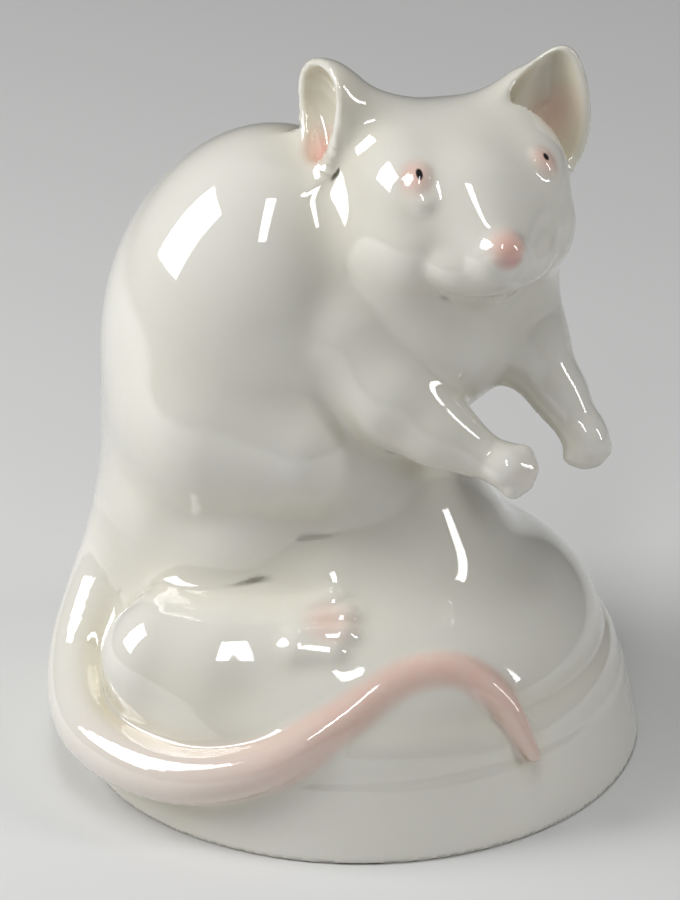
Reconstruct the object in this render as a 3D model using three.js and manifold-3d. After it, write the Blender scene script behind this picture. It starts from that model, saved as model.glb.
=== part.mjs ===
// A glazed porcelain mouse that sits on a rounded mound above a low drum-shaped base.
// Millimetres, +Z up. The base's axis is Z and its flat underside lies on Z = 0.
// The mouse, the mound and the base were cast and fired as one piece, so they are one mesh.
//
// The form is written as a distance field: every limb is a plain ellipsoid, round cone or swept
// tube, and neighbouring shapes melt into each other over a stated width, as wet clay does.
// The field is negative inside the figurine. Marching cubes turns it into a surface.

import * as THREE from 'three';
import { MarchingCubes } from 'three/addons/objects/MarchingCubes.js';
import { MeshoptSimplifier } from 'three/addons/libs/meshopt_simplifier.module.js';
import { mergeVertices } from 'three/addons/utils/BufferGeometryUtils.js';
import Module from 'manifold-3d';

// Driving dimensions, in millimetres
const FIGURE_HEIGHT = 57;        // from the mouse's seat on the mound to the tip of its higher ear
const BASE_DIAMETER = 64;        // of the base where it stands
const BASE_TAPER = 2.9;          // how far the base's wall leans in by its shoulder
const BASE_HEIGHT = 13.6;        // of the base's shoulder above the table
const BASE_ROUNDING = 4;         // width over which the wall rounds into the shoulder
const LEDGE_HEIGHT = 8.9;        // of the faint step around the base's wall
const LEDGE_DEPTH = 0.18;        // of that step
const MOUND_DIAMETER = 55.4;     // of the mound at its widest, just above the groove
const MOUND_RISE = 13.6;         // of the mound's top above the base's shoulder

// How finely the surface is cut into facets
const CELL = 0.75;
const MAX_ROUGH_TRIANGLES = 250000;
const MAX_TRIANGLES = 9600;
const SURFACE_TOLERANCE = 0.004;

// The mouse was sculpted so tall, over a seat at this level, beside a base of this size
const asSculpted = { figure: 57, seat: 27.2, baseRadius: 32, baseHeight: 13.6 };

const seatLevel = BASE_HEIGHT + MOUND_RISE;
const mouseScale = FIGURE_HEIGHT / asSculpted.figure;
const baseRadius = BASE_DIAMETER / 2;
const moundRadius = MOUND_DIAMETER / 2;

// Small field algebra

const smoothMin = (a, b, width) => {
  const overlap = Math.max(width - Math.abs(a - b), 0) / width;
  return Math.min(a, b) - overlap ** 3 * width / 6;
};

const smoothMax = (a, b, width) => -smoothMin(-a, -b, width);

// Joins shapes one after another, each melting into the rest over its own width
const melt = (first, ...others) => (x, y, z) => {
  let distance = first(x, y, z);
  for (const [width, shape] of others) {
    distance = smoothMin(distance, shape(x, y, z), width);
  }
  return distance;
};

// Cuts hollows into a body, each with its edge rounded over a width
const carve = (body, ...hollows) => (x, y, z) => {
  let distance = body(x, y, z);
  for (const [width, hollow] of hollows) {
    distance = smoothMax(distance, -hollow(x, y, z), width);
  }
  return distance;
};

// A direction frame: forward, left and up after turning by heading, then pitch, then roll, in degrees
function turned(heading = 0, pitch = 0, roll = 0) {
  const radians = THREE.MathUtils.degToRad;
  return new THREE.Matrix4().makeRotationZ(radians(heading))
    .multiply(new THREE.Matrix4().makeRotationY(-radians(pitch)))
    .multiply(new THREE.Matrix4().makeRotationX(radians(roll)));
}

// The point at the given steps forward, left and up from a centre
function from(centre, frame, forward, left, up) {
  return new THREE.Vector3(forward, left, up).applyMatrix4(frame).add(new THREE.Vector3(...centre)).toArray();
}

// An ellipsoid with its radii along the frame's forward, left and up; taper narrows it to the top
function ellipsoid(centre, radii, frame = turned(), taper = 0) {
  const [cx, cy, cz] = centre;
  const [rx, ry, rz] = radii;
  const [fx, fy, fz, , lx, ly, lz, , ux, uy, uz] = frame.elements;
  const stretch = taper === 0 ? 1 : 0.85;
  return (x, y, z) => {
    const dx = x - cx;
    const dy = y - cy;
    const dz = z - cz;
    const up = dx * ux + dy * uy + dz * uz;
    const side = 1 - taper * THREE.MathUtils.clamp(up / rz, -1.2, 1.2);
    const a = (dx * fx + dy * fy + dz * fz) / rx;
    const b = (dx * lx + dy * ly + dz * lz) / side / ry;
    const c = up / rz;
    const size = Math.sqrt(a * a + b * b + c * c);
    const slope = Math.sqrt((a / rx) ** 2 + (b / ry) ** 2 + (c / rz) ** 2);
    return slope > 1e-9 ? stretch * size * (size - 1) / slope : -Math.min(rx, ry, rz);
  };
}

// A round cone: the hull of a ball at each end
function roundCone(start, end, startRadius, endRadius) {
  const a = new THREE.Vector3(...start);
  const axis = new THREE.Vector3(...end).sub(a);
  const lengthSq = axis.lengthSq();
  const fall = startRadius - endRadius;
  const slantSq = lengthSq - fall * fall;
  return (x, y, z) => {
    const px = x - a.x;
    const py = y - a.y;
    const pz = z - a.z;
    const along = px * axis.x + py * axis.y + pz * axis.z;
    const beyond = along - lengthSq;
    const sx = px * lengthSq - axis.x * along;
    const sy = py * lengthSq - axis.y * along;
    const sz = pz * lengthSq - axis.z * along;
    const offSq = sx * sx + sy * sy + sz * sz;
    const alongSq = along * along * lengthSq;
    const beyondSq = beyond * beyond * lengthSq;
    const limit = Math.sign(fall) * fall * fall * offSq;
    if (Math.sign(beyond) * slantSq * beyondSq > limit) {
      return Math.sqrt(offSq + beyondSq) / lengthSq - endRadius;
    }
    if (Math.sign(along) * slantSq * alongSq < limit) {
      return Math.sqrt(offSq + alongSq) / lengthSq - startRadius;
    }
    return (Math.sqrt(offSq * slantSq / lengthSq) + along * fall) / lengthSq - startRadius;
  };
}

// Round cones from joint to joint, each joint being a point and its radius
function limb(joints, width) {
  const bones = joints.slice(1).map(([end, endRadius], i) => {
    const [start, startRadius] = joints[i];
    return roundCone(start, end, startRadius, endRadius);
  });
  return melt(bones[0], ...bones.slice(1).map((bone) => [width, bone]));
}

// A tapering tube swept along a smooth curve through its joints
function sweptTube(joints, steps) {
  const path = new THREE.CatmullRomCurve3(joints.map(([point]) => new THREE.Vector3(...point)));
  const girth = new THREE.CatmullRomCurve3(joints.map(([, radius]) => new THREE.Vector3(radius, 0, 0)));
  const rings = [];
  for (let i = 0; i <= steps; i += 1) {
    rings.push([path.getPoint(i / steps).toArray(), girth.getPoint(i / steps).x]);
  }
  const reach = rings.map(([, radius]) => radius).reduce((a, b) => Math.max(a, b));
  const box = new THREE.Box3().setFromPoints(rings.map(([point]) => new THREE.Vector3(...point)));
  box.expandByScalar(reach);
  const here = new THREE.Vector3();
  const clearance = 12;
  const bones = rings.slice(1).map(([end, radius], i) => roundCone(rings[i][0], end, rings[i][1], radius));
  return (x, y, z) => {
    const away = box.distanceToPoint(here.set(x, y, z));
    if (away > clearance) {
      return away;
    }
    return bones.reduce((nearest, bone) => Math.min(nearest, bone(x, y, z)), Infinity);
  };
}

// The mouse, in its own sculpting frame. Near is the side turned to -Y, far the other.

// A thigh and a shin, at some distance across the mouse from the near side
function haunch(across) {
  const thigh = roundCone([-15.5, -4.5 + across, 41.5], [-7, -9.5 + across * 1.42, 40.5], 9.6, 6);
  const shin = roundCone([-8.5, -6.5 + across, 37], [-16, -5.5 + across, 24], 5, 6);
  return melt(thigh, [3, shin]);
}

// A paw is a flattened pad with a row of toes spread from its heart
function paw({ centre, radii, frame, heart, toeTips }) {
  const pad = ellipsoid(centre, radii, frame);
  return melt(pad, ...toeTips.map((tip) => [1.1, roundCone(heart, tip, 1.6, 1.25)]));
}

function nearForeleg() {
  const joints = [
    [[-1, -3.4, 52.5], 9.6], [[3.6, -8.8, 47.2], 6], [[8.4, -11.6, 43.9], 3.9], [[12.8, -13.2, 41.8], 2.8],
  ];
  const hand = {
    centre: [16, -14.6, 40.9], radii: [3.4, 2.8, 2.5], frame: turned(-38, -8), heart: [15.5, -14.4, 40.6],
    toeTips: [[18, -14.4, 41.9], [18.5, -15.3, 40.8], [18, -15.9, 39.6], [16.9, -16.2, 38.9]],
  };
  return melt(limb(joints, 3), [1.5, paw(hand)]);
}

function farForeleg() {
  const joints = [
    [[15, -0.5, 57], 7], [[18.2, -2.6, 50.5], 4.7], [[22.2, -5.4, 45.2], 2.8], [[24.2, -7, 42.2], 2.5],
  ];
  const hand = {
    centre: [25.2, -8, 41.1], radii: [3.2, 2.5, 2.7], frame: turned(-60, -40), heart: [25, -7.8, 41.5],
    toeTips: [[26.9, -8, 39.7], [26, -8.8, 39.1], [24.9, -9.1, 39], [23.8, -8.8, 39.3]],
  };
  return melt(limb(joints, 3), [1.5, paw(hand)]);
}

function body() {
  const back = ellipsoid([-11.9, 3.5, 50.8], [16.8, 16.5, 22.6], turned(0, -14));
  const rump = ellipsoid([-12.8, 3.5, 33], [12.6, 13.5, 15]);
  const belly = ellipsoid([-2.6, 0.5, 36.5], [13.2, 11.5, 15]);
  const chest = ellipsoid([6.5, -0.5, 53.8], [12, 11.5, 12.9], turned(-45));
  const neck = ellipsoid([4.5, 0.6, 63], [9.8, 9.2, 9.5]);
  const smallOfBack = ellipsoid([-19.5, -0.5, 27], [7.5, 7.5, 11]);
  const lap = roundCone([0.8, 0, 36], [4.2, -1, 23.5], 8.8, 12.3);
  const shank = roundCone([-21.5, -4.4, 30.5], [-3.5, -9.4, 25.6], 3, 3.8);
  return melt(back, [10, rump], [8, belly], [7, chest], [9, neck], [9, haunch(0)], [9, haunch(16)],
    [6, smallOfBack], [8, lap], [7, shank], [2.4, nearForeleg()], [3.4, farForeleg()]);
}

const HEAD_CENTRE = [11.3, -3.4, 69.3];
const headFrame = turned(-72, -12);
const onHead = (forward, left, up) => from(HEAD_CENTRE, headFrame, forward, left, up);

function head() {
  const skull = ellipsoid(onHead(-1, 0, -0.2), [12, 10.3, 7.6], headFrame);
  const brow = (side) => ellipsoid(onHead(0.6, side * 6.9, 2.4), [6.5, 4.4, 4.6], headFrame);
  const snout = roundCone(onHead(4, 0, -0.2), onHead(11.8, -0.2, -0.4), 7.2, 3.8);
  const jaw = roundCone(onHead(-1, 0, -5), onHead(8, 0, -4.6), 5.8, 3.6);
  const cheek = (side) => ellipsoid(onHead(3.2, side * 7, -2.6), [6.6, 4.7, 5.4], headFrame);
  const muzzle = ellipsoid(onHead(8.8, 0.2, -2.3), [5.6, 7.6, 4.1], headFrame);
  const eyeFrame = (side) => headFrame.clone().multiply(turned(side * 29, -31));
  const eye = (side) => ellipsoid(onHead(4.75, side * 6.95, 5.5), [1.8, 1.35, 1], eyeFrame(side));
  const chin = ellipsoid(onHead(8, 0.4, -5.2), [3.6, 4.4, 2.2], headFrame);
  const nose = ellipsoid(onHead(13.9, 0, 1.8), [1.9, 2.1, 1.6], headFrame);
  return melt(skull, [3, brow(-1)], [3, brow(1)], [5, snout], [3, jaw], [2.8, cheek(-1)], [2.8, cheek(1)],
    [1.3, muzzle], [1, eye(-1)], [1, eye(1)], [0.8, chin], [1.6, nose]);
}

// An ear is half an ellipsoid with its flat side forward, and a cup is hollowed from that side
const ears = [
  {
    centre: [-4, -0.3, 76.2], frame: turned(209, 4, 13),
    back: 5, halfWidth: 4.4, halfHeight: 6.8, taper: -0.5,
    root: [[6, -0.5, 71], [-1.2, 0.3, 77], 6.3, 3.2], rim: 1, cupDepth: 3.4, cupShift: 0, cupEdge: 1,
  },
  {
    centre: [20.6, 2.4, 76], frame: turned(-84, 10, -17),
    back: 5, halfWidth: 5.1, halfHeight: 7.7, taper: 0.32,
    root: [[14, 1, 71.5], [18, 4, 77], 6, 3], rim: 1, cupDepth: 2.6, cupShift: -0.6, cupEdge: 2.2,
  },
];

// An ellipsoid whose front is cut off flat, at some distance before its centre
function halfShell(centre, radii, frame, taper, face) {
  const shell = ellipsoid(centre, radii, frame, taper);
  const [forwardX, forwardY, forwardZ] = frame.elements;
  const [cx, cy, cz] = centre;
  const before = (x, y, z) => (x - cx) * forwardX + (y - cy) * forwardY + (z - cz) * forwardZ - face;
  return (x, y, z) => smoothMax(shell(x, y, z), before(x, y, z), 0.7);
}

function ear({ centre, frame, back, halfWidth, halfHeight, taper, root }) {
  return melt(halfShell(centre, [back, halfWidth, halfHeight], frame, taper, 0.6), [3, roundCone(...root)]);
}

// The cup ends a little before the ear, so that it cuts nothing else
function earCup({ centre, frame, halfWidth, halfHeight, taper, rim, cupDepth, cupShift }) {
  const middle = from(centre, frame, 0.6, cupShift, 0);
  return halfShell(middle, [cupDepth, halfWidth - rim, halfHeight - rim], frame, taper, 1.3);
}

const nearSole = () => limb([[[-21.6, -14.6, 17], 7], [[-16, -16.4, 16.4], 7], [[-10.4, -17.2, 18], 5.6]], 3);

function nearToes() {
  const tips = [[-2.9, -16.1, 24.1], [-1.8, -18.1, 23.3], [-2, -20.1, 22.3], [-3.1, -21.7, 21.1]];
  const toe = (tip, i) => roundCone([-6.8, tip[1] * 0.72 - 5.3, 22.1 - 0.35 * i], tip, 2.2, 1.6);
  const [first, ...others] = tips.map(toe);
  return melt(first, ...others.map((one) => [0.6, one]));
}

function farFoot() {
  return limb([[[-19, 14.5, 18], 6.2], [[-13.5, 17, 17.5], 6], [[-8, 18.5, 18], 5]], 3);
}

// The tail leaves the rump, drops to the base and lies around its shoulder to the front
const TAIL_FROM_RUMP = [[[-19, 7, 33], 8.5], [[-23.2, 5, 25.5], 6.4]];
const TAIL_ROUND_BASE = [
  [[-28.3, 1.5, 17.3], 4.9], [[-31.3, -5, 11.2], 4.1], [[-30.6, -13.5, 8.2], 3.8], [[-26.1, -20.8, 7.4], 3.5],
  [[-18.5, -26.8, 8.2], 3.1], [[-10, -28.9, 11], 2.6], [[-2.5, -26.9, 15], 2.2], [[5, -23.2, 18.6], 1.9],
  [[11, -21.8, 18.6], 1.7], [[16, -22.8, 15.5], 1.5], [[19.4, -24.4, 9.7], 0.8],
];
const TAIL_STEPS = 60;

function tail() {
  const across = baseRadius / asSculpted.baseRadius;
  const up = BASE_HEIGHT / asSculpted.baseHeight;
  const offRump = TAIL_FROM_RUMP.map(([point, radius]) => [toTable(point), radius * mouseScale]);
  const roundBase = TAIL_ROUND_BASE.map(([[x, y, z], radius]) => [[x * across, y * across, z * up], radius]);
  return sweptTube([...offRump, ...roundBase], TAIL_STEPS);
}

// How widely the tail melts into what it lies on: widely where it leaves the rump, closely further on
function tailMelt(x, z) {
  const climbing = THREE.MathUtils.clamp((z - BASE_HEIGHT) / 14, 0, 1);
  const behind = THREE.MathUtils.clamp((-0.375 * baseRadius - x) / 6, 0, 1);
  return 1.8 + 10 * climbing * behind;
}

// The base and the mound, about the Z axis

function drum() {
  const shoulderLevel = BASE_HEIGHT - 0.6;
  return (x, y, z) => {
    const rise = THREE.MathUtils.clamp(z / shoulderLevel, 0, 1.2);
    const ledge = LEDGE_DEPTH / 2 * (1 - Math.tanh((z - LEDGE_HEIGHT) / 0.35));
    const wall = 0.97 * (Math.hypot(x, y) - (baseRadius - BASE_TAPER * rise ** 1.15 + ledge));
    return smoothMax(wall, z - BASE_HEIGHT, BASE_ROUNDING);
  };
}

// The mound tucks in below its widest line, which leaves a groove above the base's shoulder
function mound() {
  const dome = ellipsoid([0, 0, BASE_HEIGHT], [moundRadius, moundRadius, MOUND_RISE]);
  const tuck = BASE_HEIGHT * 0.66;
  const restPlace = [-0.52 * moundRadius, -0.49 * moundRadius, BASE_HEIGHT * 0.77];
  const footRest = ellipsoid(restPlace, [10.6, 12.5, 8.5].map((radius) => radius * mouseScale), turned(-137));
  return melt((x, y, z) => smoothMax(dome(x, y, z), tuck - z, 3), [3, footRest]);
}

// How far the groove is filled with glaze at a point: it closes towards the tail's side
function seamWidth(x, y) {
  const towardTail = (-0.8 * x - 0.6 * y) / Math.max(Math.hypot(x, y), 1e-3);
  return 1.2 + 9 * THREE.MathUtils.clamp(0.5 + 0.9 * (towardTail - 0.45), 0, 1);
}

// From a point or field in the mouse's sculpting frame to the table's
function toTable([x, y, z]) {
  return [x * mouseScale, y * mouseScale, seatLevel + (z - asSculpted.seat) * mouseScale];
}

function onTable(shape) {
  const level = (z) => (z - seatLevel) / mouseScale + asSculpted.seat;
  return (x, y, z) => mouseScale * shape(x / mouseScale, y / mouseScale, level(z));
}

function figurine() {
  const limbs = melt(onTable(body()), [10, mound()], [6, onTable(head())], [4.5, onTable(nearSole())],
    [2.4, onTable(nearToes())], [4.5, onTable(farFoot())], ...ears.map((one) => [4, onTable(ear(one))]));
  const cupped = carve(limbs, ...ears.map((one) => [one.cupEdge, onTable(earCup(one))]));
  const base = drum();
  const tailTube = tail();
  return (x, y, z) => {
    const onBase = smoothMin(cupped(x, y, z), base(x, y, z), seamWidth(x, y));
    return smoothMin(onBase, tailTube(x, y, z), tailMelt(x, z));
  };
}

// The surface of the field, as indexed triangles with shared vertices. It runs a little below the table.
function polygonise(field) {
  const below = 4 * CELL;
  const cells = Math.ceil((seatLevel + FIGURE_HEIGHT + below) / CELL) + 6;
  const cubes = new MarchingCubes(cells, new THREE.MeshStandardMaterial(), false, false, MAX_ROUGH_TRIANGLES);
  cubes.isolation = 0;
  const half = cells / 2;
  const origin = [-half * CELL, -half * CELL, -below - 2 * CELL];
  const clearance = 0.06 * CELL;
  for (let k = 0; k < cells; k += 1) {
    for (let j = 0; j < cells; j += 1) {
      for (let i = 0; i < cells; i += 1) {
        const z = origin[2] + k * CELL;
        const floor = -below - z;
        const inside = -Math.max(field(origin[0] + i * CELL, origin[1] + j * CELL, z), floor);
        const depth = Math.max(Math.abs(inside), clearance);
        cubes.field[i + cells * (j + cells * k)] = inside < 0 ? -depth : depth;
      }
    }
  }
  cubes.update();
  const corners = new THREE.BufferGeometry();
  const used = cubes.positionArray.slice(0, cubes.count * 3).map((value) => value * half);
  corners.setAttribute('position', new THREE.BufferAttribute(used, 3));
  const merged = mergeVertices(corners, 1e-3);
  merged.translate(half, half, half);
  merged.scale(CELL, CELL, CELL);
  merged.translate(...origin);
  return merged;
}

async function simplify(geometry) {
  await MeshoptSimplifier.ready;
  const points = geometry.getAttribute('position').array;
  const [kept] = MeshoptSimplifier.simplify(
    new Uint32Array(geometry.index.array), points, 3, MAX_TRIANGLES * 3, SURFACE_TOLERANCE);
  const [order, count] = MeshoptSimplifier.compactMesh(kept);
  const packed = new Float32Array(count * 3);
  order.forEach((target, source) => {
    if (target !== 0xffffffff) {
      packed.set(points.subarray(source * 3, source * 3 + 3), target * 3);
    }
  });
  const lean = new THREE.BufferGeometry();
  lean.setAttribute('position', new THREE.BufferAttribute(packed, 3));
  lean.setIndex(new THREE.BufferAttribute(kept, 1));
  return lean;
}

function toSolid(wasm, geometry) {
  const bare = geometry.clone();
  bare.deleteAttribute('normal');
  bare.deleteAttribute('uv');
  const merged = mergeVertices(bare);
  return new wasm.Manifold(new wasm.Mesh({
    numProp: 3,
    vertProperties: new Float32Array(merged.getAttribute('position').array),
    triVerts: new Uint32Array(merged.index.array),
  }));
}

function toGeometry(solid) {
  const mesh = solid.getMesh();
  const geometry = new THREE.BufferGeometry();
  geometry.setAttribute('position', new THREE.BufferAttribute(new Float32Array(mesh.vertProperties), 3));
  geometry.setIndex(new THREE.BufferAttribute(new Uint32Array(mesh.triVerts), 1));
  geometry.computeVertexNormals();
  return geometry;
}

const wasm = await Module();
wasm.setup();

const rough = toSolid(wasm, await simplify(polygonise(figurine())));
const underTable = new THREE.BoxGeometry(4 * BASE_DIAMETER, 4 * BASE_DIAMETER, BASE_DIAMETER);
underTable.translate(0, 0, -BASE_DIAMETER / 2);
const cut = rough.subtract(toSolid(wasm, underTable));

const glaze = new THREE.MeshStandardMaterial({ color: 0xdedbcf, roughness: 0.12, metalness: 0 });
const mouse = new THREE.Mesh(toGeometry(cut), glaze);
mouse.name = 'mouse_figurine';

const porcelainMouse = new THREE.Group();
porcelainMouse.add(mouse);

export default porcelainMouse;
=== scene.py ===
"""A glazed porcelain mouse figurine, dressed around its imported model.

The figurine is one casting: mouse, mound and base under one glaze. Its form is a distance field
that is negative inside the clay. Each limb is a plain shape that knows two things: how to model
its rough blank with bmesh operators, and how far a point lies from it. The blanks are joined and
remeshed, and the remeshed skin is then settled on the field, where neighbouring shapes melt into
each other over a stated width. Lengths are in the sculptor's millimetres until the mesh is placed.
"""

import logging
import math
from dataclasses import dataclass, field
from enum import Enum
from typing import Callable, Iterable, Protocol, Sequence

import bmesh
import bpy
import numpy as np
from mathutils import Matrix, Vector

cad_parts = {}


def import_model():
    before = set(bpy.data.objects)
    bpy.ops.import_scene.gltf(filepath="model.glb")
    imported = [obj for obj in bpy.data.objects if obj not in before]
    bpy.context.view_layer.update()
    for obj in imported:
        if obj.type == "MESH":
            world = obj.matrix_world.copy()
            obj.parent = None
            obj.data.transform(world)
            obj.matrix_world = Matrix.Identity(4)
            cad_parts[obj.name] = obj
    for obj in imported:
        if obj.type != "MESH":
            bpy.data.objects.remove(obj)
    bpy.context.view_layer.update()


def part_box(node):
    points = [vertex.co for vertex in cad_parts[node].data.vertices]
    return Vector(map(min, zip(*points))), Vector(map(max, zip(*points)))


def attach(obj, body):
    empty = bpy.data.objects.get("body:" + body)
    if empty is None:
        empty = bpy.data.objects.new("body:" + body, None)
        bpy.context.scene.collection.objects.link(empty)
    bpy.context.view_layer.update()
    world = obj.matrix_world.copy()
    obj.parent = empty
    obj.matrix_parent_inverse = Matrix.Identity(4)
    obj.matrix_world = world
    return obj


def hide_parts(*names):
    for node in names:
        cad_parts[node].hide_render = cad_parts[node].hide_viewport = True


log = logging.getLogger("mouse_figurine")

Point = tuple[float, float, float]
Joint = tuple[Point, float]
Socket = bpy.types.NodeSocket
Tree = bpy.types.NodeTree
Feed = Socket | float | Sequence[float]

NODE = "mouse_figurine"
SLOT = "glazed_porcelain"
BODY = "root"

SCULPTED_HEIGHT_MM = 83.24      # of the model in the sculptor's millimetres
BALL_SUBDIVISIONS = 3           # of the balls that the blanks are made from
VOXEL_MM = 0.52                 # of the skin
SETTLE_STEPS = 3                # of moving the skin onto the field
LONGEST_MOVE_MM = 0.8           # of a vertex in one of those steps
GRADIENT_STEP_MM = 0.02
TUBE_REACH_MM = 12.0            # within which the tail is measured exactly
FAR_SHARE = 0.6                 # of the way to a shape's ball that its field may fall short by
CHUNK = 60000                   # points that are measured at a time


# Fields


def smooth_min(a: np.ndarray, b: np.ndarray, width: np.ndarray | float) -> np.ndarray:
    """Joins two distances so that their surfaces melt together over a width.

    Args:
        a: Distances to the first shape.
        b: Distances to the second shape.
        width: How wide the melted zone is.

    Returns:
        The distance to the joined shape.
    """
    overlap = np.maximum(width - np.abs(a - b), 0.0) / width
    return np.minimum(a, b) - overlap ** 3 * width / 6.0


def smooth_max(a: np.ndarray, b: np.ndarray, width: float) -> np.ndarray:
    """Keeps what both shapes share, with a rounded edge of that width."""
    return -smooth_min(-a, -b, width)


def turned(heading: float = 0.0, pitch: float = 0.0, roll: float = 0.0) -> Matrix:
    """A frame whose columns are forward, left and up.

    Args:
        heading: Turn about the vertical, in degrees.
        pitch: Lift of the front, in degrees.
        roll: Turn about the forward axis, in degrees.

    Returns:
        The frame as a 3x3 matrix.
    """
    radians = math.radians
    return (Matrix.Rotation(radians(heading), 3, "Z") @ Matrix.Rotation(-radians(pitch), 3, "Y")
            @ Matrix.Rotation(radians(roll), 3, "X"))


class Shape(Protocol):
    """A form that can be measured and modelled."""

    def distance(self, p: np.ndarray) -> np.ndarray:
        """How far each point lies outside the form."""

    def ball(self) -> Joint:
        """The centre and radius of a ball that holds the form."""

    def model(self, bm: bmesh.types.BMesh) -> None:
        """Adds the form's rough blank to a bmesh."""


def holding(balls: Sequence[Joint]) -> Joint:
    """The centre and radius of a ball that holds some balls."""
    centres = np.array([centre for centre, _ in balls])
    middle = centres.mean(axis=0)
    reach = max(np.linalg.norm(centre - middle) + radius for centre, (_, radius) in zip(centres, balls))
    return tuple(middle), reach


def add_ball(bm: bmesh.types.BMesh, matrix: Matrix) -> list[bmesh.types.BMVert]:
    """Adds a unit ball, placed by a matrix, and returns its vertices."""
    made = bmesh.ops.create_icosphere(bm, subdivisions=BALL_SUBDIVISIONS, radius=1.0, matrix=matrix)
    return made["verts"]


def new_mesh(name: str, bm: bmesh.types.BMesh) -> bpy.types.Mesh:
    """Makes a mesh of a bmesh, which is freed."""
    mesh = bpy.data.meshes.new(name)
    bm.to_mesh(mesh)
    bm.free()
    return mesh


def new_object(name: str, data: bpy.types.ID) -> bpy.types.Object:
    """Makes an object and links it to the scene."""
    made = bpy.data.objects.new(name, data)
    bpy.context.scene.collection.objects.link(made)
    return made


def add_blank(bm: bmesh.types.BMesh, blank: bmesh.types.BMesh) -> None:
    """Adds a finished blank to a bmesh and frees it."""
    mesh = new_mesh("blank", blank)
    bm.from_mesh(mesh)
    bpy.data.meshes.remove(mesh)


def cut_level(blank: bmesh.types.BMesh, place: Sequence[float], outwards: Sequence[float]) -> None:
    """Cuts off what lies beyond a plane, and closes the cut.

    Args:
        blank: What is cut.
        place: A point on the plane.
        outwards: The direction that is cut off.
    """
    cut = bmesh.ops.bisect_plane(blank, geom=[*blank.verts, *blank.edges, *blank.faces], clear_outer=True,
                                 plane_co=place, plane_no=outwards)
    rim = [item for item in cut["geom_cut"] if isinstance(item, bmesh.types.BMEdge)]
    bmesh.ops.holes_fill(blank, edges=rim)


@dataclass(frozen=True)
class Ellipsoid:
    """An ellipsoid with radii along its frame's forward, left and up. A taper narrows it upwards."""

    centre: Point
    radii: Point
    frame: Matrix = field(default_factory=turned)
    taper: float = 0.0

    def distance(self, p: np.ndarray) -> np.ndarray:
        """How far each point lies outside the ellipsoid."""
        q = (p - np.array(self.centre)) @ np.array(self.frame)
        r = np.array(self.radii)
        if self.taper:
            q[:, 1] /= 1.0 - self.taper * np.clip(q[:, 2] / r[2], -1.2, 1.2)
        size = np.sqrt(np.sum((q / r) ** 2, axis=1))
        slope = np.sqrt(np.sum((q / (r * r)) ** 2, axis=1))
        stretch = 0.85 if self.taper else 1.0
        return stretch * size * (size - 1.0) / np.maximum(slope, 1e-9)

    def ball(self) -> Joint:
        """The ball that holds the ellipsoid."""
        return self.centre, max(self.radii) * (1.0 + abs(self.taper))

    def model(self, bm: bmesh.types.BMesh) -> None:
        """Adds the ellipsoid as a stretched ball."""
        verts = add_ball(bm, Matrix.Identity(4))
        for vert in verts:
            vert.co.y *= 1.0 - self.taper * vert.co.z
        place = Matrix.Translation(self.centre) @ self.frame.to_4x4() @ Matrix.Diagonal((*self.radii, 1.0))
        bmesh.ops.transform(bm, matrix=place, verts=verts)


@dataclass(frozen=True)
class RoundCone:
    """The hull of a ball at each end."""

    start: Point
    end: Point
    start_radius: float
    end_radius: float

    def distance(self, p: np.ndarray) -> np.ndarray:
        """How far each point lies outside the cone."""
        a = np.array(self.start)
        axis = np.array(self.end) - a
        length_sq = float(axis @ axis)
        fall = self.start_radius - self.end_radius
        slant_sq = length_sq - fall * fall
        pa = p - a
        along = pa @ axis
        beyond = along - length_sq
        off_sq = np.sum((pa * length_sq - along[:, None] * axis) ** 2, axis=1)
        along_sq = along * along * length_sq
        beyond_sq = beyond * beyond * length_sq
        limit = math.copysign(fall * fall, fall) * off_sq
        slanted = np.sqrt(off_sq * max(slant_sq, 0.0) / length_sq)
        side = (slanted + along * fall) / length_sq - self.start_radius
        start = np.sqrt(off_sq + along_sq) / length_sq - self.start_radius
        end = np.sqrt(off_sq + beyond_sq) / length_sq - self.end_radius
        near_start = np.sign(along) * slant_sq * along_sq < limit
        past_end = np.sign(beyond) * slant_sq * beyond_sq > limit
        return np.where(past_end, end, np.where(near_start, start, side))

    def ball(self) -> Joint:
        """The ball that holds the cone."""
        return holding(((self.start, self.start_radius), (self.end, self.end_radius)))

    def model(self, bm: bmesh.types.BMesh) -> None:
        """Adds the hull of the two balls."""
        blank = bmesh.new()
        for centre, radius in ((self.start, self.start_radius), (self.end, self.end_radius)):
            add_ball(blank, Matrix.Translation(centre) @ Matrix.Scale(radius, 4))
        bmesh.ops.delete(blank, geom=list(blank.edges), context="EDGES_FACES")
        hull = bmesh.ops.convex_hull(blank, input=list(blank.verts))
        inner = [item for item in hull["geom_interior"] if isinstance(item, bmesh.types.BMVert)]
        bmesh.ops.delete(blank, geom=inner, context="VERTS")
        add_blank(bm, blank)


@dataclass(frozen=True)
class Melt:
    """Shapes joined one after another, each melting into the rest over its own width."""

    first: Shape
    others: tuple[tuple[float, Shape], ...]

    def distance(self, p: np.ndarray) -> np.ndarray:
        """How far each point lies outside the joined form. A shape out of reach isn't measured."""
        distance = self.first.distance(p)
        for width, shape in self.others:
            centre, radius = shape.ball()
            away = np.sqrt(np.sum((p - np.array(centre)) ** 2, axis=1)) - radius
            close = FAR_SHARE * away < distance + width
            distance[close] = smooth_min(distance[close], shape.distance(p[close]), width)
        return distance

    def ball(self) -> Joint:
        """The ball that holds every shape."""
        return holding([self.first.ball(), *(shape.ball() for _, shape in self.others)])

    def model(self, bm: bmesh.types.BMesh) -> None:
        """Adds every shape's blank."""
        self.first.model(bm)
        for _, shape in self.others:
            shape.model(bm)


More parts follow.
